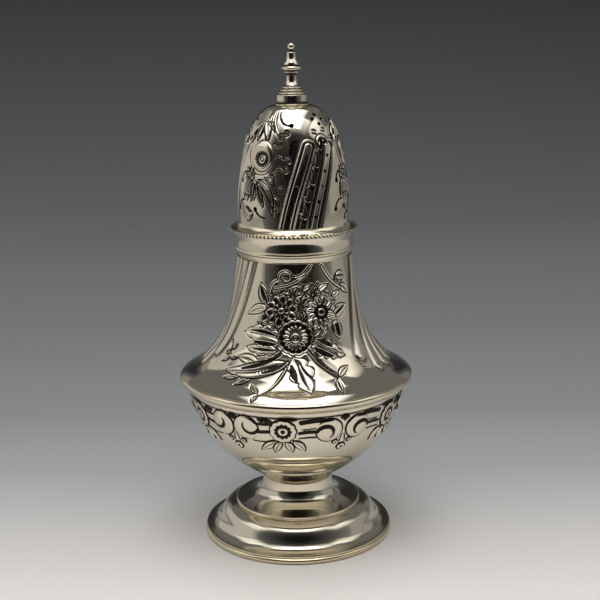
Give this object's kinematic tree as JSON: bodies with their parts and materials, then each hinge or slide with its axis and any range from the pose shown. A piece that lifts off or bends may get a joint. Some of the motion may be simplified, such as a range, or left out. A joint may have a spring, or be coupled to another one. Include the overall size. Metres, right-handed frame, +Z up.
{
  "type": "sugar caster",
  "caption": "Silver-plated sugar caster: baluster body on a spreading round foot, with a tall pierced dome cover and turned finial that pulls off the neck for filling.",
  "frame": {"origin": "on the table, under the middle of the foot", "axes": "+Z up the axis of the body to the finial, -Y towards the viewer of the picture"},
  "size_m": [0.09, 0.09, 0.1902],
  "materials": {
    "silver_plate": "polished silver plate, oxidised dark in the recesses of the ornament",
    "worn_plate": "silver plate worn yellowish on the edges that are handled and rubbed",
    "brass": "plain turned brass, dulled"
  },
  "bodies": {
    "body": {"foot_rim": "worn_plate", "foot_skirt": "silver_plate", "pedestal": "silver_plate", "bowl": "silver_plate", "girdle": "silver_plate", "upper_body": "silver_plate", "neck_ring": "silver_plate", "neck_bezel": "silver_plate"},
    "cover": {"cover_sleeve": "silver_plate", "cover_flange": "silver_plate", "rope_border": "worn_plate", "cover_dome": "silver_plate", "finial": "worn_plate", "finial_washer": "brass", "finial_nut": "brass"}
  },
  "joints": [
    {"name": "cover_lift", "type": "slide", "parent": "body", "child": "cover", "axis": [0, 0, 1], "range_m": [0, 0.06]}
  ]
}
